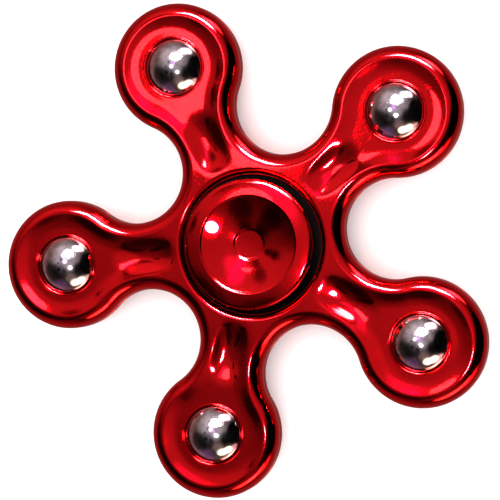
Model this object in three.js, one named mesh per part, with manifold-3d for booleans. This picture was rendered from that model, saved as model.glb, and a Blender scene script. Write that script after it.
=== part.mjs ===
// A five-armed fidget spinner in millimetres, +Z up, centred on its bearing.
// Two half shells close round a 608 ball bearing and five steel weight balls,
// and a finger cap is pressed into each end of the bearing's bore.

import * as THREE from 'three';
import { mergeVertices } from 'three/addons/utils/BufferGeometryUtils.js';
import Module from 'manifold-3d';

// Frame
const ARM_COUNT = 5;
const ARM_TURN = (2 * Math.PI) / ARM_COUNT;
const RING_RADIUS = 36;              // spin axis to the centre of each weight ball
const LOBE_RADIUS = 12.05;           // rounded end of an arm, seen from above
const ARM_HALF_WIDTH = 6.25;
const HALF_HEIGHT = 4;               // middle plane to the crest of the rim
const RIM_DROP = 2.8;                // height of the rounded outer edge
const RIM_INSET = 2.5;               // width of the rounded outer edge
const HALF_PARTING_GAP = 0.05;       // half of the hairline joint between the shells

// Shallow dish in each lobe, measured from the weight ball's centre
const DISH_CREST_RADIUS = 9.3;
const DISH_FOOT_RADIUS = 6.9;
const DISH_FLOOR = 3.55;
const WINDOW_LIP_RADIUS = 5.75;      // raised lip round the opening that the weight ball looks out of
const WINDOW_LIP_TOP = 3.7;
const LIP_CHAMFER = 0.1;

// Scoop along each arm: the lowest part of an ellipsoid
const SCOOP_HALF_WIDTH = 3.3;
const SCOOP_HALF_LENGTH = 6.2;
const SCOOP_DEPTH = 1.25;
const SCOOP_ELLIPSOID_HEIGHT = 2.5;  // half of the ellipsoid's height
const SCOOP_DISTANCE = 21;

// Weight balls, 1/2 inch
const WEIGHT_BALL_RADIUS = 6.35;
const SOCKET_CLEARANCE = 0.1;

// Cored-out ring inside each lobe, which keeps the moulded walls even
const CORE_INNER_RADIUS = 7;
const CORE_OUTER_RADIUS = 10;
const CORE_HEIGHT = 1.2;

// Hub, locating pins and their holes
const SEAT_RADIUS = 11.05;           // bore that grips the bearing
const RECESS_RADIUS = 13.15;         // round well that the finger cap sits in
const RECESS_FLOOR = 2.7;
const RECESS_CHAMFER = 0.4;
const PIN_RING_RADIUS = 14;
const PIN_RADIUS = 1.1;
const PIN_LENGTH = 1.5;
const PIN_ROOT = 0.8;                // how far a pin runs up into its own shell
const PIN_HOLE_RADIUS = 1.4;
const PIN_HOLE_DEPTH = 1.8;

// 608 bearing: 8 mm bore, 22 mm outside, 7 mm wide, seven 5/32 inch balls
const BORE_RADIUS = 4;
const BEARING_RADIUS = 11;
const BEARING_HALF_WIDTH = 3.5;
const INNER_RACE_RADIUS = 6.05;
const OUTER_RACE_RADIUS = 8.95;
const SHIELD_SEAT_RADIUS = 9.75;
const SHIELD_SEAT_HEIGHT = 2.75;
const RACE_CHAMFER = 0.3;
const PITCH_RADIUS = 7.5;
const BEARING_BALL_COUNT = 7;
const BEARING_BALL_RADIUS = 1.9845;
const GROOVE_RADIUS = 2.1;
const SHIELD_INNER_RADIUS = 6.4;
const SHIELD_OUTER_RADIUS = 9.65;
const SHIELD_BOTTOM = 2.85;
const SHIELD_THICKNESS = 0.3;
const CAGE_INNER_RADIUS = 6.75;
const CAGE_OUTER_RADIUS = 8.25;
const CAGE_HALF_GAP = 0.05;
const CAGE_THICKNESS = 0.4;
const CAGE_CUP_RADIUS = 2.15;        // hollow of the cup over each bearing ball
const RIVET_RADIUS = 0.3;
const RIVET_HOLE_RADIUS = 0.42;
const RIVET_HEAD_RADIUS = 0.55;
const RIVET_HEAD_HEIGHT = 0.25;

// Finger caps
const CAP_RADIUS = 12;
const CAP_TOP = 7;
const CAP_UNDERSIDE = 3.9;
const CAP_EDGE = 1.1;                // rounding of the cap's upper edge
const CAP_DISH_RADIUS = 9;
const CAP_DISH_FLOOR = 5.8;
const CAP_CENTRE_RADIUS = 3;         // small round recess in the middle of the dish
const CAP_CENTRE_DEPTH = 0.25;
const CAP_BOSS_RADIUS = 5.8;         // step that bears on the inner race
const CAP_BOSS_BOTTOM = 3.55;
const CAP_STEM_RADIUS = 3.95;
const CAP_STEM_BOTTOM = 0.3;
const CAP_STEM_WALL = 1.3;

// Number of flats on round shapes
const HUB_SIDES = 32;
const LOBE_SIDES = 16;
const SCOOP_SIDES = 20;
const CORE_SIDES = 12;
const CAGE_SIDES = 14;
const SMALL_SIDES = 8;
const ARC_STEPS = 8;

const wasm = await Module();
wasm.setup();

// A three.js geometry as a manifold-3d solid: shared corners merged, collapsed triangles dropped
function solid(geometry) {
  const bare = geometry.clone();
  bare.deleteAttribute('normal');
  bare.deleteAttribute('uv');
  const merged = mergeVertices(bare, 1e-5);
  const triVerts = [];
  for (let i = 0; i < merged.index.count; i += 3) {
    const [a, b, c] = merged.index.array.slice(i, i + 3);
    if (a !== b && b !== c && c !== a) triVerts.push(a, b, c);
  }
  return new wasm.Manifold(new wasm.Mesh({
    numProp: 3,
    vertProperties: merged.attributes.position.array,
    triVerts: new Uint32Array(triVerts),
  }));
}

function geometryOf(body) {
  const { vertProperties, triVerts } = body.getMesh();
  const geometry = new THREE.BufferGeometry();
  geometry.setAttribute('position', new THREE.BufferAttribute(vertProperties, 3));
  geometry.setIndex(new THREE.BufferAttribute(triVerts, 1));
  geometry.computeVertexNormals();
  return geometry;
}

// A profile of [radius, height] points turned about the Z axis
function turned(profile, sides) {
  const points = profile.map(([radius, height]) => new THREE.Vector2(radius, height));
  return new THREE.LatheGeometry(points, sides).rotateX(Math.PI / 2);
}

// The same, for a ring that doesn't reach the axis: its profile closes on itself
function turnedRing(profile, sides) {
  return turned([...profile, profile[0]], sides);
}

function disc(radius, bottom, top, sides) {
  return turned([[0, bottom], [radius, bottom], [radius, top], [0, top]], sides);
}

function ball(radius, sides) {
  return new THREE.SphereGeometry(radius, sides, Math.round(sides * 0.7)).rotateX(Math.PI / 2);
}

// Copies of a geometry, moved out along X and then spaced evenly round the Z axis
function spaced(geometry, count, distance, offset = 0) {
  return Array.from({ length: count }, (_, i) => geometry.clone()
    .translate(distance, 0, 0)
    .rotateZ(offset + (i * 2 * Math.PI) / count));
}

function cut(body, geometries) {
  return geometries.reduce((left, geometry) => left.subtract(solid(geometry)), body);
}

function join(body, geometries) {
  return geometries.reduce((whole, geometry) => whole.add(solid(geometry)), body);
}

// The frame seen from above: round lobes, and round valleys that are tangent to both neighbours
function frameOutline() {
  const halfTurn = ARM_TURN / 2;
  const cot = 1 / Math.tan(halfTurn);
  const spare = LOBE_RADIUS - ARM_HALF_WIDTH;
  const b = RING_RADIUS * cot + spare;
  const root = Math.sqrt(b * b - cot * cot * (RING_RADIUS ** 2 - spare ** 2));
  const armToValley = (b - root) / (cot * cot);
  const valleyRadius = armToValley - ARM_HALF_WIDTH;
  const valleyDistance = armToValley / Math.sin(halfTurn);
  const contact = Math.atan2(armToValley, armToValley * cot - RING_RADIUS);

  const shape = new THREE.Shape();
  for (let arm = 0; arm < ARM_COUNT; arm += 1) {
    const along = arm * ARM_TURN;
    const between = along + halfTurn;
    shape.absarc(RING_RADIUS * Math.cos(along), RING_RADIUS * Math.sin(along), LOBE_RADIUS,
      along - contact, along + contact, false);
    shape.absarc(valleyDistance * Math.cos(between), valleyDistance * Math.sin(between), valleyRadius,
      along + contact + Math.PI, along + ARM_TURN - contact + Math.PI, true);
  }
  return shape;
}

function frameBlank() {
  const depth = 2 * (HALF_HEIGHT - RIM_DROP);
  const blank = new THREE.ExtrudeGeometry(frameOutline(), {
    depth,
    curveSegments: ARC_STEPS,
    bevelSegments: 2,
    bevelThickness: RIM_DROP,
    bevelSize: RIM_INSET,
    bevelOffset: -RIM_INSET,
  }).translate(0, 0, -depth / 2);
  const upperHalf = new THREE.BoxGeometry(120, 120, 10).translate(0, 0, 5 + HALF_PARTING_GAP);
  return solid(blank).intersect(solid(upperHalf));
}

// What the upper and the lower shell have in common, as the upper one lies
function shellBlank() {
  const hubBore = turned([
    [0, -1],
    [SEAT_RADIUS, -1],
    [SEAT_RADIUS, RECESS_FLOOR],
    [RECESS_RADIUS, RECESS_FLOOR],
    [RECESS_RADIUS, HALF_HEIGHT - RECESS_CHAMFER],
    [RECESS_RADIUS + 2 * RECESS_CHAMFER, HALF_HEIGHT + RECESS_CHAMFER],
    [0, HALF_HEIGHT + RECESS_CHAMFER],
  ], HUB_SIDES);
  const dish = turned([
    [0, WINDOW_LIP_TOP],
    [WINDOW_LIP_RADIUS - LIP_CHAMFER, WINDOW_LIP_TOP],
    [WINDOW_LIP_RADIUS, WINDOW_LIP_TOP - LIP_CHAMFER],
    [WINDOW_LIP_RADIUS, DISH_FLOOR],
    [DISH_FOOT_RADIUS, DISH_FLOOR],
    [DISH_CREST_RADIUS, HALF_HEIGHT],
    [DISH_CREST_RADIUS, HALF_HEIGHT + 1],
    [0, HALF_HEIGHT + 1],
  ], LOBE_SIDES);
  const socket = ball(WEIGHT_BALL_RADIUS + SOCKET_CLEARANCE, LOBE_SIDES);
  const core = turnedRing([
    [CORE_INNER_RADIUS, -1],
    [CORE_OUTER_RADIUS, -1],
    [CORE_OUTER_RADIUS, CORE_HEIGHT],
    [CORE_INNER_RADIUS, CORE_HEIGHT],
  ], CORE_SIDES);
  const sink = 1 - SCOOP_DEPTH / SCOOP_ELLIPSOID_HEIGHT;
  const spread = Math.sqrt(1 - sink ** 2);
  const scoop = ball(1, SCOOP_SIDES)
    .scale(SCOOP_HALF_LENGTH / spread, SCOOP_HALF_WIDTH / spread, SCOOP_ELLIPSOID_HEIGHT)
    .translate(0, 0, HALF_HEIGHT + sink * SCOOP_ELLIPSOID_HEIGHT);

  return cut(frameBlank(), [
    hubBore,
    ...[dish, socket, core].flatMap((cutter) => spaced(cutter, ARM_COUNT, RING_RADIUS)),
    ...spaced(scoop, ARM_COUNT, SCOOP_DISTANCE),
  ]);
}

function bearingInnerRace() {
  const groove = halfGroove(-1);
  return turnedRing([
    [BORE_RADIUS, -BEARING_HALF_WIDTH + RACE_CHAMFER],
    [BORE_RADIUS + RACE_CHAMFER, -BEARING_HALF_WIDTH],
    [INNER_RACE_RADIUS, -BEARING_HALF_WIDTH],
    ...groove,
    [INNER_RACE_RADIUS, BEARING_HALF_WIDTH],
    [BORE_RADIUS + RACE_CHAMFER, BEARING_HALF_WIDTH],
    [BORE_RADIUS, BEARING_HALF_WIDTH - RACE_CHAMFER],
  ], HUB_SIDES);
}

function bearingOuterRace() {
  const groove = halfGroove(1).reverse();
  return turnedRing([
    [SHIELD_SEAT_RADIUS, -BEARING_HALF_WIDTH],
    [BEARING_RADIUS - RACE_CHAMFER, -BEARING_HALF_WIDTH],
    [BEARING_RADIUS, -BEARING_HALF_WIDTH + RACE_CHAMFER],
    [BEARING_RADIUS, BEARING_HALF_WIDTH - RACE_CHAMFER],
    [BEARING_RADIUS - RACE_CHAMFER, BEARING_HALF_WIDTH],
    [SHIELD_SEAT_RADIUS, BEARING_HALF_WIDTH],
    [SHIELD_SEAT_RADIUS, SHIELD_SEAT_HEIGHT],
    [OUTER_RACE_RADIUS, SHIELD_SEAT_HEIGHT],
    ...groove,
    [OUTER_RACE_RADIUS, -SHIELD_SEAT_HEIGHT],
    [SHIELD_SEAT_RADIUS, -SHIELD_SEAT_HEIGHT],
  ], HUB_SIDES);
}

// Points up the ball groove of a race, on the inner (-1) or outer (+1) side of the pitch circle
function halfGroove(side) {
  const shoulder = side < 0 ? PITCH_RADIUS - INNER_RACE_RADIUS : OUTER_RACE_RADIUS - PITCH_RADIUS;
  const reach = Math.acos(shoulder / GROOVE_RADIUS);
  return [-1, -0.5, 0, 0.5, 1].map((part) => [
    PITCH_RADIUS + side * GROOVE_RADIUS * Math.cos(part * reach),
    GROOVE_RADIUS * Math.sin(part * reach),
  ]);
}

function bearingShield() {
  return turnedRing([
    [SHIELD_INNER_RADIUS, SHIELD_BOTTOM],
    [SHIELD_OUTER_RADIUS, SHIELD_BOTTOM],
    [SHIELD_OUTER_RADIUS, SHIELD_BOTTOM + SHIELD_THICKNESS],
    [SHIELD_INNER_RADIUS, SHIELD_BOTTOM + SHIELD_THICKNESS],
  ], HUB_SIDES);
}

// Ribbon cage half: a flat ring with a cup pressed up over each bearing ball
function cageHalf() {
  const ringTo = (top) => solid(turnedRing([
    [CAGE_INNER_RADIUS, CAGE_HALF_GAP],
    [CAGE_OUTER_RADIUS, CAGE_HALF_GAP],
    [CAGE_OUTER_RADIUS, top],
    [CAGE_INNER_RADIUS, top],
  ], CAGE_SIDES));
  const onPitch = (geometry) => spaced(geometry, BEARING_BALL_COUNT, PITCH_RADIUS);
  const [firstCup, ...otherCups] = onPitch(ball(CAGE_CUP_RADIUS + CAGE_THICKNESS, SMALL_SIDES));
  const cups = join(solid(firstCup), otherCups).intersect(ringTo(BEARING_HALF_WIDTH));
  const hollows = onPitch(ball(CAGE_CUP_RADIUS, SMALL_SIDES));
  const rivetHoles = spaced(disc(RIVET_HOLE_RADIUS, -1, 1, SMALL_SIDES), BEARING_BALL_COUNT,
    PITCH_RADIUS, Math.PI / BEARING_BALL_COUNT);
  return cut(cups.add(ringTo(CAGE_HALF_GAP + CAGE_THICKNESS)), [...hollows, ...rivetHoles]);
}

function cageRivet() {
  const headBottom = CAGE_HALF_GAP + CAGE_THICKNESS + 0.05;
  const top = headBottom + RIVET_HEAD_HEIGHT;
  return turned([
    [0, -top],
    [RIVET_HEAD_RADIUS, -top],
    [RIVET_HEAD_RADIUS, -headBottom],
    [RIVET_RADIUS, -headBottom],
    [RIVET_RADIUS, headBottom],
    [RIVET_HEAD_RADIUS, headBottom],
    [RIVET_HEAD_RADIUS, top],
    [0, top],
  ], SMALL_SIDES);
}

function fingerCap() {
  const slant = CAP_EDGE * (1 - Math.SQRT1_2);
  return turned([
    [0, CAP_BOSS_BOTTOM],
    [CAP_STEM_RADIUS - CAP_STEM_WALL, CAP_BOSS_BOTTOM],
    [CAP_STEM_RADIUS - CAP_STEM_WALL, CAP_STEM_BOTTOM],
    [CAP_STEM_RADIUS, CAP_STEM_BOTTOM],
    [CAP_STEM_RADIUS, CAP_BOSS_BOTTOM],
    [CAP_BOSS_RADIUS, CAP_BOSS_BOTTOM],
    [CAP_BOSS_RADIUS, CAP_UNDERSIDE],
    [CAP_RADIUS, CAP_UNDERSIDE],
    [CAP_RADIUS, CAP_TOP - CAP_EDGE],
    [CAP_RADIUS - slant, CAP_TOP - slant],
    [CAP_RADIUS - CAP_EDGE, CAP_TOP],
    [CAP_DISH_RADIUS, CAP_TOP],
    [CAP_CENTRE_RADIUS, CAP_DISH_FLOOR],
    [CAP_CENTRE_RADIUS - CAP_CENTRE_DEPTH, CAP_DISH_FLOOR - CAP_CENTRE_DEPTH],
    [0, CAP_DISH_FLOOR - CAP_CENTRE_DEPTH],
  ], HUB_SIDES);
}

function finish(color, roughness, metalness) {
  return () => new THREE.MeshStandardMaterial({ color, roughness, metalness });
}

const redPlatedShell = finish(0xb00812, 0.08, 0.9);
const redPlatedCap = finish(0xb80a1c, 0.06, 0.9);
const polishedSteel = finish(0xd8d8dc, 0.04, 1);
const groundSteel = finish(0xb4b6ba, 0.2, 1);
const pressedSteel = finish(0x9a9ca0, 0.35, 1);

function piece(name, geometry, material) {
  const mesh = new THREE.Mesh(geometry, material());
  mesh.name = name;
  return mesh;
}

// A mesh that stands on the Z axis but lies the other way up
function upsideDown(mesh) {
  mesh.rotation.x = Math.PI;
  return mesh;
}

// Pieces in a ring: each in a group of its own, turned round the Z axis
function ringOf(names, distance, make, offset = 0) {
  const ring = new THREE.Group();
  names.forEach((name, i) => {
    const arm = new THREE.Group();
    arm.rotation.z = offset + (i * 2 * Math.PI) / names.length;
    const mesh = make(name);
    mesh.position.x = distance;
    arm.add(mesh);
    ring.add(arm);
  });
  return ring;
}

function numbered(stem, count) {
  return Array.from({ length: count }, (_, i) => `${stem}_${i + 1}`);
}

function makeHub() {
  const hub = new THREE.Group();
  hub.add(
    piece('top_cap', fingerCap(), redPlatedCap),
    upsideDown(piece('bottom_cap', fingerCap(), redPlatedCap)),
    piece('bearing_inner_race', bearingInnerRace(), groundSteel),
  );
  return hub;
}

function makeFrame() {
  const pins = spaced(disc(PIN_RADIUS, -PIN_LENGTH, PIN_ROOT, SMALL_SIDES), ARM_COUNT,
    PIN_RING_RADIUS, ARM_TURN / 2);
  const pinHoles = spaced(disc(PIN_HOLE_RADIUS, -1, PIN_HOLE_DEPTH, SMALL_SIDES), ARM_COUNT,
    PIN_RING_RADIUS, ARM_TURN / 2);
  const upperShell = geometryOf(join(shellBlank(), pins));
  const lowerShell = geometryOf(cut(shellBlank(), pinHoles));
  const frame = new THREE.Group();
  frame.add(
    piece('upper_shell', upperShell, redPlatedShell),
    upsideDown(piece('lower_shell', lowerShell, redPlatedShell)),
    ringOf(numbered('weight_ball', ARM_COUNT), RING_RADIUS,
      (name) => piece(name, ball(WEIGHT_BALL_RADIUS, LOBE_SIDES), polishedSteel)),
    piece('bearing_outer_race', bearingOuterRace(), groundSteel),
    piece('bearing_shield_top', bearingShield(), pressedSteel),
    upsideDown(piece('bearing_shield_bottom', bearingShield(), pressedSteel)),
  );
  return frame;
}

function makeRollingSet() {
  const halfStep = Math.PI / BEARING_BALL_COUNT;
  const set = new THREE.Group();
  set.add(
    piece('cage_upper_half', geometryOf(cageHalf()), pressedSteel),
    upsideDown(piece('cage_lower_half', geometryOf(cageHalf()), pressedSteel)),
    ringOf(numbered('cage_rivet', BEARING_BALL_COUNT), PITCH_RADIUS,
      (name) => piece(name, cageRivet(), pressedSteel), halfStep),
    ringOf(numbered('bearing_ball', BEARING_BALL_COUNT), PITCH_RADIUS,
      (name) => piece(name, ball(BEARING_BALL_RADIUS, SMALL_SIDES + 2), polishedSteel)),
  );
  return set;
}

const group = new THREE.Group();
group.add(makeHub(), makeFrame(), makeRollingSet());

export default group;
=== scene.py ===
from math import acos, atan2, cos, hypot, pi, radians, sin, sqrt, tan

import bmesh
import bpy
from mathutils import Matrix, Vector


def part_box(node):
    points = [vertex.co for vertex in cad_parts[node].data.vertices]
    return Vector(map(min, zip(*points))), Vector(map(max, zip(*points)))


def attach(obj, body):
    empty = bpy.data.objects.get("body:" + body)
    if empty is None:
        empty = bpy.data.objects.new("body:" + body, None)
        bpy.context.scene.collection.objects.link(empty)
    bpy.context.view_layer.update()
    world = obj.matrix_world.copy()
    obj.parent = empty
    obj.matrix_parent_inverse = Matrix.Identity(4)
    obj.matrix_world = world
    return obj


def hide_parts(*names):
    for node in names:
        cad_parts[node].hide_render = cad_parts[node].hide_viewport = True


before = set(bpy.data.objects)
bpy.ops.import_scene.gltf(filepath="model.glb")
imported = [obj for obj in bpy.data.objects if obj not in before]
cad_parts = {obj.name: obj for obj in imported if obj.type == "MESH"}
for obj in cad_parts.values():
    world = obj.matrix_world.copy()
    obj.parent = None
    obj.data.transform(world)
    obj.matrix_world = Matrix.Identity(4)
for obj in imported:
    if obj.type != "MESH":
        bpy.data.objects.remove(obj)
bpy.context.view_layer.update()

MM = 0.001

# ---------------------------------------------------------------- sizes, in millimetres

ARMS = 5
ARM_TURN = 2 * pi / ARMS


def far_corner(node):
    low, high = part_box(node)
    return Vector(high) / MM


shell_corner = far_corner("upper_shell")
ball_corner = far_corner("weight_ball_1")
cap_corner = far_corner("top_cap")

RING_RADIUS = 36
LOBE_RADIUS = shell_corner.x - RING_RADIUS
HALF_HEIGHT = shell_corner.z
ARM_HALF_WIDTH = 6.25

# hairline joint between the two shells: half its width, and the bevel on each side of it
PARTING = 0.01
PARTING_BEVEL = 0.12

# rounded outer edge, and an extra loop in the side wall below it
RIM_INSET = 2.6
RIM_FOOT = 0.9
WALL_LOOP = 0.5

# ridge all round the frame, and the shallow pocket that it borders
RIDGE_INSET = 2.2
RIDGE_SOFTNESS = 0.3
POCKET_DEPTH = 0.45
POCKET_SLOPE_LENGTH = 3.2
POCKET_START = 16
POCKET_FADE_LENGTH = 8

# trough along each arm, how many of its own sizes out its curve is followed,
# and the rounding where it runs into the pocket
TROUGH_CENTRE = 21
TROUGH_HALF_LENGTH = 6.2
TROUGH_HALF_WIDTH = 3.3
TROUGH_DEPTH = 0.95
TROUGH_SOFTNESS = 0.12
TROUGH_SQUARENESS = 2.8
TROUGH_LIMIT = 4
HOLLOW_BLEND = 0.25

# weight balls, half an inch across, and their sockets
BALL_RADIUS = ball_corner.z
SOCKET_CLEARANCE = 0.1
SOCKET_RADIUS = BALL_RADIUS + SOCKET_CLEARANCE
SOCKET_STEPS = 6
WINDOW_RADIUS = 5.4

# small raised lip round each ball's window, as (radius, height) from its foot over its top
LIP_FOOT_RADIUS = 5.85
WINDOW_LIP = [(5.82, 3.61), (5.77, 3.67), (5.70, 3.715), (5.62, 3.73), (5.54, 3.715), (5.47, 3.67),
              (5.42, 3.61)]

# hub: rounded lip, the well that the cap sits in and the bearing's seat
HUB_LIP = 14.15
HUB_FILLET = 1
HUB_FILLET_STEPS = 8
RECESS_RADIUS = 13.15
RECESS_FLOOR = 2.7
RECESS_CHAMFER = 0.1
SEAT_RADIUS = 11.05
SEAT_CHAMFER = 0.15

CAP_RADIUS = cap_corner.x
CAP_TOP = cap_corner.z
CAP_SIDES = 192

# how near an edge's middle lies to the line it is picked by, how far it keeps from half an arm's
# two mirror planes, how near two points are to be one, and an error left by rounding numbers
PICK_RANGE = 0.02
OFF_MIRROR = 1e-4
SAME_POINT = 0.002
ROUND_OFF = 1e-9

# the outline's valleys are round and tangent to the lobes on both sides
_cot = 1 / tan(ARM_TURN / 2)
_spare = LOBE_RADIUS - ARM_HALF_WIDTH
_b = RING_RADIUS * _cot + _spare
ARM_TO_VALLEY = (_b - sqrt(_b * _b - _cot**2 * (RING_RADIUS**2 - _spare**2))) / _cot**2
VALLEY_RADIUS = ARM_TO_VALLEY - ARM_HALF_WIDTH
VALLEY_X = ARM_TO_VALLEY * _cot
CONTACT = atan2(ARM_TO_VALLEY, VALLEY_X - RING_RADIUS)


# ---------------------------------------------------------------- modelling by hand

def deselect():
    bpy.ops.object.select_all(action="DESELECT")


def named(piece, name):
    piece.name = name
    piece.data.name = name
    return piece


def edit(piece):
    deselect()
    bpy.context.view_layer.objects.active = piece
    piece.select_set(True)
    bpy.ops.object.mode_set(mode="EDIT")
    bpy.ops.mesh.select_mode(type="VERT")


def leave():
    bpy.ops.object.mode_set(mode="OBJECT")


def pick_edges(test):
    """Selects the edges of the mesh being edited whose middle, in mm, passes the test."""
    bpy.ops.mesh.select_mode(type="EDGE")
    bpy.ops.mesh.select_all(action="DESELECT")
    mesh = bmesh.from_edit_mesh(bpy.context.object.data)
    for line in mesh.edges:
        if test((line.verts[0].co + line.verts[1].co) / 2 / MM, line):
            line.select_set(True)
    mesh.select_flush_mode()
    bmesh.update_edit_mesh(bpy.context.object.data)


def set_height(height):
    mesh = bmesh.from_edit_mesh(bpy.context.object.data)
    for vert in mesh.verts:
        if vert.select:
            vert.co.z = height * MM
    bmesh.update_edit_mesh(bpy.context.object.data)


def draw_in(inset):
    """Moves the chosen points, which lie on the outline, inwards."""
    mesh = bmesh.from_edit_mesh(bpy.context.object.data)
    for vert in mesh.verts:
        if vert.select:
            x, y = moved_inwards(vert.co.x / MM, vert.co.y / MM, inset)
            vert.co = (x * MM, y * MM, vert.co.z)
    bmesh.update_edit_mesh(bpy.context.object.data)


def place(piece):
    """Puts the piece's place into its mesh."""
    deselect()
    bpy.context.view_layer.objects.active = piece
    piece.select_set(True)
    bpy.ops.object.transform_apply(location=True, rotation=True, scale=True)


def smooth(piece, angle):
    deselect()
    bpy.context.view_layer.objects.active = piece
    piece.select_set(True)
    bpy.ops.object.shade_smooth_by_angle(angle=radians(angle))


def copy_of(piece, name, turn):
    other = piece.copy()
    other.data = piece.data.copy()
    bpy.context.scene.collection.objects.link(other)
    other.data.transform(turn)
    other.data.update()
    return named(other, name)


def eased(t):
    t = min(max(t, 0), 1)
    return t * t * (3 - 2 * t)


def soft_positive(value, softness):
    return (value + sqrt(value * value + softness * softness)) / 2


# ---------------------------------------------------------------- shells

# The skin is a grid: its columns run round half an arm, its rows from the parting line to the inner edge
LOBE_COLUMNS = 84
ARM_COLUMNS = 36
HUB_COLUMNS = 22
COLUMNS = LOBE_COLUMNS + ARM_COLUMNS + HUB_COLUMNS
ROLL_ROWS = 12
ROWS = 50
LOBE_SHARE = LOBE_COLUMNS / COLUMNS
ARM_SHARE = ARM_COLUMNS / (ARM_COLUMNS + HUB_COLUMNS)
ROLL_SHARE = ROLL_ROWS / ROWS
UNDERSIDE_ROWS = 3

# how the columns gather at the arm's side of a window, how the rows gather at the rim,
# and how far a row goes straight inwards before it turns towards its partner
COLUMN_GATHER = 2.4
ROW_GATHER = 1.2
LEAD_SHARE = 0.4


def on_outline(u, inset):
    """A point of half an arm's outline, from its tip (0) to the bottom of the valley (1), moved inwards."""
    if u <= LOBE_SHARE:
        angle = CONTACT * u / LOBE_SHARE
        reach = LOBE_RADIUS - inset
        return Vector((RING_RADIUS + reach * cos(angle), reach * sin(angle)))
    t = (u - LOBE_SHARE) / (1 - LOBE_SHARE)
    first = CONTACT + pi
    last = ARM_TURN / 2 + pi
    angle = first + (last - first) * t
    reach = VALLEY_RADIUS + inset
    return Vector((VALLEY_X + reach * cos(angle), ARM_TO_VALLEY + reach * sin(angle)))


def inset_of(x, y):
    """How far inside the outline a point lies."""
    if atan2(y, x - RING_RADIUS) <= CONTACT:
        return LOBE_RADIUS - hypot(x - RING_RADIUS, y)
    return hypot(x - VALLEY_X, y - ARM_TO_VALLEY) - VALLEY_RADIUS


def moved_inwards(x, y, inset):
    """A point of the outline, moved inwards."""
    if atan2(y, x - RING_RADIUS) <= CONTACT:
        centre = Vector((RING_RADIUS, 0))
        scale = 1 - inset / LOBE_RADIUS
    else:
        centre = Vector((VALLEY_X, ARM_TO_VALLEY))
        scale = 1 + inset / VALLEY_RADIUS
    return centre + (Vector((x, y)) - centre) * scale


def on_inner_edge(u, window, hub):
    """The partner of an outline point: on the ball's window, the arm's middle line or the hub's edge."""
    if u <= LOBE_SHARE:
        share = u / LOBE_SHARE
        angle = CONTACT * share + (pi - CONTACT) * share**COLUMN_GATHER
        return Vector((RING_RADIUS + window * cos(angle), window * sin(angle)))
    t = (u - LOBE_SHARE) / (1 - LOBE_SHARE)
    if t <= ARM_SHARE + ROUND_OFF:
        share = t / ARM_SHARE
        first = on_outline(LOBE_SHARE, RIM_INSET).x
        last = on_outline(LOBE_SHARE + ARM_SHARE * (1 - LOBE_SHARE), RIM_INSET).x
        drift = (RING_RADIUS - window - first) * (1 - share) + (hub - last) * share
        return Vector((on_outline(u, RIM_INSET).x + drift, 0))
    angle = ARM_TURN / 2 * (t - ARM_SHARE) / (1 - ARM_SHARE)
    return Vector((hub * cos(angle), hub * sin(angle)))


def top_height(x, y, inset):
    """Height of the upper skin: a rounded edge, a ridge, and behind it a shallow pocket and a trough."""
    edge = max(1 - inset / RIM_INSET, 0)
    height = RIM_FOOT + (HALF_HEIGHT - RIM_FOOT) * sqrt(1 - edge * edge)
    behind = min(soft_positive(inset - RIDGE_INSET, RIDGE_SOFTNESS) / POCKET_SLOPE_LENGTH, 1)
    pocket = POCKET_DEPTH * (1 - (1 - behind) ** 2) * eased((x - POCKET_START) / POCKET_FADE_LENGTH)
    along = abs(x - TROUGH_CENTRE) / TROUGH_HALF_LENGTH
    across = y / TROUGH_HALF_WIDTH
    reach = (along**TROUGH_SQUARENESS + across**TROUGH_SQUARENESS) ** (2 / TROUGH_SQUARENESS)
    trough = soft_positive(TROUGH_DEPTH * (1 - min(reach, TROUGH_LIMIT)), TROUGH_SOFTNESS)
    return height - (pocket + trough + sqrt((pocket - trough) ** 2 + HOLLOW_BLEND**2) - HOLLOW_BLEND) / 2


def skin_point(u, v):
    """Where a point of the flat skin goes: v runs from the parting line over the rim to the inner edge."""
    if v <= ROLL_SHARE + ROUND_OFF:
        inset = RIM_INSET * (1 - cos(v / ROLL_SHARE * pi / 2))
        x, y = on_outline(u, inset)
    else:
        t = ((v - ROLL_SHARE) / (1 - ROLL_SHARE)) ** ROW_GATHER
        crest = on_outline(u, RIM_INSET)
        inner = on_inner_edge(u, LIP_FOOT_RADIUS, HUB_LIP)
        lead = on_outline(u, RIM_INSET + LEAD_SHARE * (inner - crest).length)
        x, y = crest * (1 - t) ** 2 + lead * 2 * t * (1 - t) + inner * t * t
        inset = max(inset_of(x, y), RIM_INSET)
    return Vector((x, y, top_height(x, max(y, 0), inset))) * MM


def underside_point(u, v):
    """The flat face on the parting line, drawn between the same outline and the sockets."""
    x, y = on_outline(u, PARTING_BEVEL).lerp(on_inner_edge(u, SOCKET_RADIUS, SEAT_RADIUS), v)
    return Vector((x, y, PARTING)) * MM


def drawn_skin(name, rows, point):
    """A flat grid laid over half an arm."""
    deselect()
    bpy.ops.mesh.primitive_grid_add(x_subdivisions=COLUMNS, y_subdivisions=rows, size=1)
    skin = named(bpy.context.object, name)
    for vert in skin.data.vertices:
        vert.co = point(vert.co.x + 0.5, vert.co.y + 0.5)
    return skin


def extrude_rim(centre, radius, profile):
    """Extrudes the chosen open edge, which lies on a circle, through a list of (radius, height)."""
    middle = Vector((centre, 0, 0)) * MM
    for new_radius, height in profile:
        bpy.ops.mesh.extrude_region_move()
        scale = new_radius / radius
        bpy.ops.transform.resize(value=(scale, scale, 1), center_override=middle)
        set_height(height)
        radius = new_radius


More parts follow.
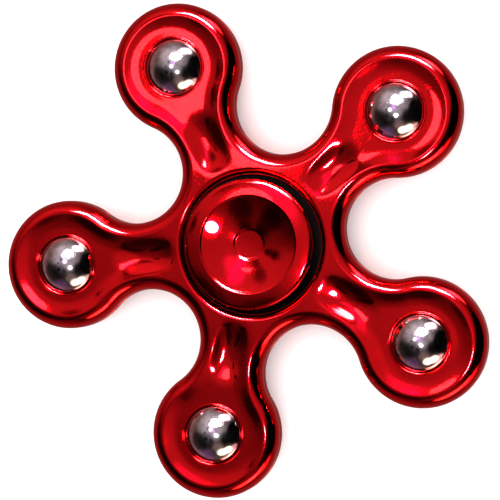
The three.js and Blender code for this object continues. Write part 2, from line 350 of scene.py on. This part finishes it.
def make_upper_shell():
    underside = drawn_skin("underside", UNDERSIDE_ROWS, underside_point)
    shell = drawn_skin("upper_shell_skin", ROWS, skin_point)
    edit(shell)

    def on_inner_rim(middle, line):
        return line.is_boundary and middle.z > RIM_FOOT + PICK_RANGE

    # side wall down to the parting line
    pick_edges(lambda p, line: line.is_boundary and abs(p.z - RIM_FOOT) < PICK_RANGE)
    for height in (WALL_LOOP, PARTING_BEVEL, PARTING):
        bpy.ops.mesh.extrude_region_move()
        set_height(height)
    draw_in(PARTING_BEVEL)

    # lip round the ball's window, then the socket below it
    top = acos(WINDOW_RADIUS / SOCKET_RADIUS)
    socket = [(SOCKET_RADIUS * cos(a), SOCKET_RADIUS * sin(a))
              for a in (top * k / SOCKET_STEPS for k in range(SOCKET_STEPS, 0, -1))]
    pick_edges(lambda p, line: on_inner_rim(p, line) and p.y > OFF_MIRROR
               and abs(hypot(p.x - RING_RADIUS, p.y) - LIP_FOOT_RADIUS) < PICK_RANGE)
    extrude_rim(RING_RADIUS, LIP_FOOT_RADIUS, WINDOW_LIP + socket + [(SOCKET_RADIUS, PARTING)])

    # rounded lip of the hub, the well and the bearing's seat
    quarter = [k * pi / (2 * HUB_FILLET_STEPS) for k in range(1, HUB_FILLET_STEPS + 1)]
    fillet = [(HUB_LIP - HUB_FILLET * sin(a), HALF_HEIGHT - HUB_FILLET + HUB_FILLET * cos(a))
              for a in quarter]
    well = [(RECESS_RADIUS, RECESS_FLOOR + RECESS_CHAMFER), (RECESS_RADIUS - RECESS_CHAMFER, RECESS_FLOOR),
            (SEAT_RADIUS + SEAT_CHAMFER, RECESS_FLOOR), (SEAT_RADIUS, RECESS_FLOOR - SEAT_CHAMFER),
            (SEAT_RADIUS, PARTING)]
    pick_edges(lambda p, line: on_inner_rim(p, line) and abs(hypot(p.x, p.y) - HUB_LIP) < PICK_RANGE
               and OFF_MIRROR < atan2(p.y, p.x) < ARM_TURN / 2 - OFF_MIRROR)
    extrude_rim(0, HUB_LIP, fillet + well)
    leave()
    underside.select_set(True)
    bpy.ops.object.join()

    # the other half of the arm, then the other arms
    mirror = shell.modifiers.new("other half", "MIRROR")
    mirror.use_axis = (False, True, False)
    mirror.merge_threshold = SAME_POINT * MM
    bpy.ops.object.modifier_apply(modifier=mirror.name)
    edit(shell)
    bpy.ops.mesh.select_all(action="SELECT")
    bpy.ops.mesh.spin(steps=ARMS, dupli=True, angle=2 * pi, center=(0, 0, 0), axis=(0, 0, 1))
    bpy.ops.mesh.select_all(action="SELECT")
    bpy.ops.mesh.remove_doubles(threshold=SAME_POINT * MM)
    bpy.ops.mesh.normals_make_consistent(inside=False)
    leave()
    smooth(shell, 40)
    return shell


# ---------------------------------------------------------------- caps and balls

# a rounding's points are at most so far apart, in angle and in millimetres
ROUNDING_TURN = radians(9)
ROUNDING_STEP = 0.5


def rounded(corners):
    """A profile of (radius, height, rounding) corners as points, with each corner's rounding drawn in."""
    points = []
    for i, (r, z, size) in enumerate(corners):
        here = Vector((r, z))
        if size == 0:
            points.append(here)
            continue
        before = (Vector(corners[i - 1][:2]) - here).normalized()
        after = (Vector(corners[(i + 1) % len(corners)][:2]) - here).normalized()
        half = before.angle(after) / 2
        start = here + before * size / tan(half)
        end = here + after * size / tan(half)
        sweep = pi - 2 * half
        steps = max(2, round(sweep / ROUNDING_TURN), round(sweep * size / ROUNDING_STEP))
        middle = here + (before + after).normalized() * size / sin(half)
        first = start - middle
        last = end - middle
        turn = first.angle_signed(last)
        for k in range(steps + 1):
            arm = first.copy()
            arm.rotate(Matrix.Rotation(-turn * k / steps, 2))
            points.append(middle + arm)
    return points


def turned(name, corners, sides):
    """Draws a profile with the axis as its first and last point, point by point, and spins it round."""
    points = rounded(corners)
    deselect()
    bpy.ops.mesh.primitive_plane_add(size=MM, location=(points[0].x * MM, 0, points[0].y * MM))
    piece = named(bpy.context.object, name)
    place(piece)
    edit(piece)
    bpy.ops.mesh.merge(type="CENTER")
    for before, after in zip(points, points[1:]):
        step = (after - before) * MM
        bpy.ops.mesh.extrude_region_move(TRANSFORM_OT_translate={"value": (step.x, 0, step.y)})
    bpy.ops.mesh.select_all(action="SELECT")
    bpy.ops.mesh.spin(steps=sides, angle=2 * pi, center=(0, 0, 0), axis=(0, 0, 1))
    bpy.ops.mesh.select_all(action="SELECT")
    bpy.ops.mesh.remove_doubles(threshold=SAME_POINT * MM)
    bpy.ops.mesh.select_all(action="SELECT")
    bpy.ops.mesh.normals_make_consistent(inside=False)
    leave()
    smooth(piece, 30)
    return piece


# half section of the upper cap: radius, height and rounding of each corner
CAP_PROFILE = [
    # small recess in the middle, and the dish round it
    (0, 5.56, 0),
    (2.58, 5.56, 0.5),
    (3.05, 5.76, 0.5),
    (6.0, 6.2, 40),
    (8.75, 6.81, 0.25),
    # sloping ring and rounded edge
    (9.08, 6.99, 0.3),
    (11.35, 6.72, 0.3),
    (11.8, 6.55, 0.4),
    (CAP_RADIUS, 6.2, 0.3),
    # underside, and the step that bears on the inner race
    (CAP_RADIUS, 3.9, 0.3),
    (5.8, 3.9, 0.1),
    (5.8, 3.55, 0.05),
    # hollow stem in the bearing's bore
    (3.95, 3.55, 0.05),
    (3.95, 0.3, 0.3),
    (2.65, 0.3, 0.2),
    (2.65, 3.55, 0.2),
    (0, 3.55, 0),
]


def make_weight_ball():
    deselect()
    bpy.ops.mesh.primitive_ico_sphere_add(subdivisions=6, radius=BALL_RADIUS * MM,
                                          location=(RING_RADIUS * MM, 0, 0))
    ball = named(bpy.context.object, "weight_ball_steel_1")
    place(ball)
    smooth(ball, 60)
    return ball


# ---------------------------------------------------------------- materials

def linear(hex_colour):
    def channel(k):
        value = int(hex_colour[k:k + 2], 16) / 255
        return value / 12.92 if value <= 0.04045 else ((value + 0.055) / 1.055) ** 2.4
    return (channel(1), channel(3), channel(5), 1)


def add(tree, kind, inputs=None, **settings):
    made = tree.nodes.new(kind)
    for key, value in settings.items():
        setattr(made, key, value)
    for key, value in (inputs or {}).items():
        if isinstance(value, bpy.types.NodeSocket):
            tree.links.new(value, made.inputs[key])
        else:
            made.inputs[key].default_value = value
    return made


def new_material(name):
    material = bpy.data.materials.new(name)
    material.use_nodes = True
    material.node_tree.nodes.clear()
    return material, material.node_tree


# Candy-red plating: moulded ABS, vacuum metallised and dipped in clear red lacquer.
# The metal mirrors in deep red, and the lacquer adds paler glints of its own.
def candy_red_plating():
    material, tree = new_material("candy_red_plating")
    where = add(tree, "ShaderNodeTexCoord").outputs["Object"]
    # lacquer runs a little thicker and darker in some places, over about 15 mm
    pool = add(tree, "ShaderNodeTexNoise", {"Vector": where, "Scale": 1 / (15 * MM), "Detail": 2.0})
    colour = add(tree, "ShaderNodeMix", {
        "Factor": pool.outputs["Fac"], "A": linear("#DC0010"), "B": linear("#F0001A")}, data_type="RGBA")
    # orange peel of the lacquer, about 2.5 mm from swell to swell, and fine specks of dust under it
    peel = add(tree, "ShaderNodeTexNoise", {"Vector": where, "Scale": 1 / (2.5 * MM), "Detail": 1.0})
    dust = add(tree, "ShaderNodeTexNoise", {"Vector": where, "Scale": 1 / (0.5 * MM), "Detail": 2.0})
    swell = add(tree, "ShaderNodeBump", {
        "Height": peel.outputs["Fac"], "Strength": 0.5, "Distance": 0.03 * MM})
    bump = add(tree, "ShaderNodeBump", {
        "Height": dust.outputs["Fac"], "Strength": 0.6, "Distance": 0.014 * MM,
        "Normal": swell.outputs["Normal"]})
    # handling haze
    haze = add(tree, "ShaderNodeTexNoise", {"Vector": where, "Scale": 1 / (6 * MM), "Detail": 5.0})
    rough = add(tree, "ShaderNodeMapRange", {
        "Value": haze.outputs["Fac"], "From Min": 0.35, "From Max": 0.75, "To Min": 0.05, "To Max": 0.12})
    plated = add(tree, "ShaderNodeBsdfPrincipled", {
        "Base Color": colour.outputs["Result"], "Metallic": 1.0, "Roughness": rough.outputs["Result"],
        "Coat Weight": 0.7, "Coat Roughness": 0.04, "Coat IOR": 1.5, "Normal": bump.outputs["Normal"]})
    # painted shade: a black matt surface is put in the bottom of the well under the cap, where the gap
    # round the cap lies in shadow, up to just short of the well's wall and just above its floor
    spot = add(tree, "ShaderNodeSeparateXYZ", {"Vector": where})
    flat = add(tree, "ShaderNodeCombineXYZ", {"X": spot.outputs["X"], "Y": spot.outputs["Y"]})
    reach = add(tree, "ShaderNodeVectorMath", {0: flat.outputs["Vector"]}, operation="LENGTH")
    depth = add(tree, "ShaderNodeMath", {0: spot.outputs["Z"]}, operation="ABSOLUTE")
    narrow = add(tree, "ShaderNodeMapRange", {
        "Value": reach.outputs["Value"], "From Min": (RECESS_RADIUS - 0.25) * MM,
        "From Max": (RECESS_RADIUS - 0.05) * MM, "To Min": 1.0, "To Max": 0.0})
    deep = add(tree, "ShaderNodeMapRange", {
        "Value": depth.outputs["Value"], "From Min": (RECESS_FLOOR + 0.2) * MM,
        "From Max": (RECESS_FLOOR + 0.7) * MM, "To Min": 1.0, "To Max": 0.0})
    well_shade_mask = add(tree, "ShaderNodeMath", {0: narrow.outputs["Result"], 1: deep.outputs["Result"]},
               operation="MULTIPLY")
    # black matt shader that stands in for the shadow in the gap round the cap
    painted_well_shade = add(tree, "ShaderNodeBsdfPrincipled", {
        "Base Color": linear("#080203"), "Roughness": 0.7, "IOR": 1.5, "Specular IOR Level": 0.1})
    shader = add(tree, "ShaderNodeMixShader", {
        0: well_shade_mask.outputs["Value"], 1: plated.outputs[0], 2: painted_well_shade.outputs[0]})
    add(tree, "ShaderNodeOutputMaterial", {"Surface": shader.outputs[0]})
    return material


# Polished bearing steel: hardened, ground and tumbled to a mirror, with faint finger marks
def polished_steel():
    material, tree = new_material("polished_bearing_steel")
    where = add(tree, "ShaderNodeTexCoord").outputs["Object"]
    marks = add(tree, "ShaderNodeTexNoise", {"Vector": where, "Scale": 1 / (1.2 * MM), "Detail": 6.0})
    rough = add(tree, "ShaderNodeMapRange", {
        "Value": marks.outputs["Fac"], "From Min": 0.3, "From Max": 0.8, "To Min": 0.06, "To Max": 0.22})
    colour = add(tree, "ShaderNodeMix", {
        "Factor": marks.outputs["Fac"], "A": linear("#F0EEF0"), "B": linear("#9A959A")}, data_type="RGBA")
    bump = add(tree, "ShaderNodeBump", {
        "Height": marks.outputs["Fac"], "Strength": 0.2, "Distance": 0.01 * MM})
    shader = add(tree, "ShaderNodeBsdfPrincipled", {
        "Base Color": colour.outputs["Result"], "Metallic": 1.0, "Roughness": rough.outputs["Result"],
        "Normal": bump.outputs["Normal"]})
    add(tree, "ShaderNodeOutputMaterial", {"Surface": shader.outputs[0]})
    return material


# Pressed and ground bearing steel: satin grey with fine turning lines
def satin_steel():
    material, tree = new_material("satin_bearing_steel")
    where = add(tree, "ShaderNodeTexCoord").outputs["Object"]
    lines = add(tree, "ShaderNodeTexWave", {"Vector": where, "Scale": 1 / (0.4 * MM), "Distortion": 1.0},
                wave_type="RINGS", rings_direction="Z")
    rough = add(tree, "ShaderNodeMapRange", {
        "Value": lines.outputs["Fac"], "To Min": 0.22, "To Max": 0.32})
    bump = add(tree, "ShaderNodeBump", {
        "Height": lines.outputs["Fac"], "Strength": 0.2, "Distance": 0.01 * MM})
    shader = add(tree, "ShaderNodeBsdfPrincipled", {
        "Base Color": linear("#A9ABAF"), "Metallic": 1.0, "Roughness": rough.outputs["Result"],
        "Normal": bump.outputs["Normal"]})
    add(tree, "ShaderNodeOutputMaterial", {"Surface": shader.outputs[0]})
    return material


def give(piece, material):
    piece.data.materials.clear()
    piece.data.materials.append(material)


# ---------------------------------------------------------------- build

def stand_for(piece, node, body, material):
    give(piece, material)
    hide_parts(node)
    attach(piece, body)


plating = candy_red_plating()
steel = polished_steel()
satin = satin_steel()

upper = make_upper_shell()
turn_over = Matrix.Rotation(pi, 4, "X")
stand_for(upper, "upper_shell", "frame", plating)
stand_for(copy_of(upper, "lower_shell_skin", turn_over), "lower_shell", "frame", plating)

cap = turned("top_cap_plated", CAP_PROFILE, CAP_SIDES)
bottom_cap = copy_of(cap, "bottom_cap_plated", turn_over)
stand_for(cap, "top_cap", "hub", plating)
stand_for(bottom_cap, "bottom_cap", "hub", plating)

ball = make_weight_ball()
for arm in range(ARMS):
    made = ball if arm == 0 else copy_of(ball, f"weight_ball_steel_{arm + 1}",
                                         Matrix.Rotation(arm * ARM_TURN, 4, "Z"))
    stand_for(made, f"weight_ball_{arm + 1}", "frame", steel)

for name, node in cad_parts.items():
    if name.startswith("bearing_ball"):
        give(node, steel)
    elif not node.hide_render:
        give(node, satin)

# ---------------------------------------------------------------- camera, floor and light

PALE = linear("#F3F3F3")

# almost straight down, from about 0.4 m
camera = bpy.data.objects.new("camera", bpy.data.cameras.new("camera"))
bpy.context.scene.collection.objects.link(camera)
camera.location = Vector((70.98, -58.21, 404.85)) * MM
camera.rotation_euler = (radians(-0.802), radians(12.908), radians(-42.295))
camera.data.lens = 160.9
camera.data.sensor_width = 36
camera.data.clip_start = 0.01
camera.data.clip_end = 50
bpy.context.scene.camera = camera
facing = camera.rotation_euler.to_matrix()

deselect()
bpy.ops.mesh.primitive_plane_add(size=6, location=(0, 0, -CAP_TOP * MM))
floor = named(bpy.context.object, "floor")
floor.visible_glossy = False
# Smooth pale paper: even and without shine
paper, tree = new_material("pale_paper")
matt = add(tree, "ShaderNodeBsdfPrincipled", {
    "Base Color": PALE, "Roughness": 0.9, "Specular IOR Level": 0.0})
add(tree, "ShaderNodeOutputMaterial", {"Surface": matt.outputs[0]})
give(floor, paper)


def towards(turn, tilt):
    """A direction from the spinner: tilt is degrees off the camera's line, turn runs anticlockwise."""
    a, b = radians(turn), radians(tilt)
    return facing @ Vector((sin(b) * cos(a), sin(b) * sin(a), cos(b)))


def studio():
    """A dim room of soft glows and dark corners that only reflections see, and pale light for the rest."""
    world = bpy.data.worlds.new("studio")
    bpy.context.scene.world = world
    world.use_nodes = True
    tree = world.node_tree
    tree.nodes.clear()
    direction = add(tree, "ShaderNodeTexCoord").outputs["Generated"]

    def disc(turn, tilt, radius, edge, low, high):
        near = add(tree, "ShaderNodeVectorMath", {0: direction, 1: towards(turn, tilt)},
                   operation="DOT_PRODUCT")
        return add(tree, "ShaderNodeMapRange", {
            "Value": near.outputs["Value"], "From Min": cos(radians(radius + edge)),
            "From Max": cos(radians(max(radius - edge, 0))), "To Min": low, "To Max": high},
            interpolation_type="SMOOTHSTEP").outputs["Result"]

    # turn, tilt, radius and soft edge in degrees, colour, strength
    glows = [
        # pale wall
        (125, 32, 38, 26, "#ECDFE8", 0.46),
        (110, 62, 26, 20, "#C8B8B4", 0.30),
        (150, 82, 18, 16, "#8A6450", 0.25),
        # two violet glows, small and close to the camera
        (150, 19, 5, 3, "#D868FF", 0.8),
        (136, 25, 4, 3, "#A830FF", 1.4),
        # dark red floor of the room
        (0, 180, 90, 16, "#C08888", 0.4),
        # cluster of soft lamps
        (121, 39, 4, 3, "#FFFAF4", 40.0),
        (104, 41, 7, 5, "#FFFAF4", 50.0),
        (87, 37, 5, 4, "#FFFAF4", 40.0),
        (104, 31, 4, 3, "#FFFAF4", 40.0),
        (72, 60, 8, 6, "#ECDCF4", 5.0),
        (60, 68, 8, 7, "#FFE8E8", 2.5),
        # warm window low on the right
        (284, 67, 11, 6, "#FFF4D4", 2.5),
        (302, 68, 11, 6, "#FFF0DC", 2.5),
        (320, 80, 10, 8, "#F0B0A8", 1.2),
        # faint daylight and a violet screen further down
        (272, 46, 12, 10, "#C8A8A8", 0.35),
        (242, 82, 16, 10, "#7A4A90", 0.4),
    ]
    dimness = (0.08, 0.055, 0.05)
    total = add(tree, "ShaderNodeVectorMath", {0: dimness, 1: (0, 0, 0)},
                operation="ADD").outputs["Vector"]
    for turn, tilt, radius, edge, colour, strength in glows:
        shape = disc(turn, tilt, radius, edge, 0.0, strength)
        lit = add(tree, "ShaderNodeVectorMath", {0: linear(colour)[:3], "Scale": shape}, operation="SCALE")
        total = add(tree, "ShaderNodeVectorMath", {0: total, 1: lit.outputs["Vector"]},
                    operation="ADD").outputs["Vector"]
    # turn, tilt, radius and soft edge in degrees, share of the light that is left
    flags = [
        # dark doorway and dim corners
        (2, 64, 32, 4, 0.02),
        (335, 34, 18, 9, 0.15),
        (212, 47, 25, 6, 0.5),
        (204, 72, 26, 8, 0.4),
        # small dark things near the camera
        (227, 31, 6, 3, 0.3),
        (203, 43, 6, 3, 0.2),
        (173, 43, 2.5, 1.5, 0.1),
        (152, 37, 3.5, 2, 0.35),
    ]
    for turn, tilt, radius, edge, left in flags:
        shade = disc(turn, tilt, radius, edge, 1.0, left)
        total = add(tree, "ShaderNodeVectorMath", {0: total, "Scale": shade},
                    operation="SCALE").outputs["Vector"]
    room = add(tree, "ShaderNodeBackground", {"Color": total, "Strength": 1.0})
    pale = add(tree, "ShaderNodeBackground", {"Color": PALE, "Strength": 1.0})
    glossy = add(tree, "ShaderNodeLightPath").outputs["Is Glossy Ray"]
    mixed = add(tree, "ShaderNodeMixShader", {0: glossy, 1: pale.outputs[0], 2: room.outputs[0]})
    add(tree, "ShaderNodeOutputWorld", {"Surface": mixed.outputs[0]})


studio()


def lamp(name, where, size, radiance, **sees):
    """A round soft lamp that faces the spinner; radiance is how bright its face looks."""
    made = bpy.data.objects.new(name, bpy.data.lights.new(name, "AREA"))
    bpy.context.scene.collection.objects.link(made)
    made.location = where
    made.rotation_euler = Vector(where).to_track_quat("Z", "Y").to_euler()
    made.data.shape = "DISK"
    made.data.size = size
    made.data.energy = radiance * pi * pi * (size / 2) ** 2
    for key, value in sees.items():
        setattr(made, key, value)


lamp("overhead", (0, 0, 1.4), 2.4, 1.2, visible_glossy=False)
# two small lamps close to the camera, seen only as glints
lamp("left_glint", towards(160, 26.5) * 0.32, 0.066, 2.6, visible_diffuse=False)
lamp("low_glint", towards(246, 12) * 0.36, 0.04, 50.0, visible_diffuse=False)

# deep shadows and clean highlights
bpy.context.scene.view_settings.view_transform = "Standard"
bpy.context.scene.view_settings.look = "High Contrast"
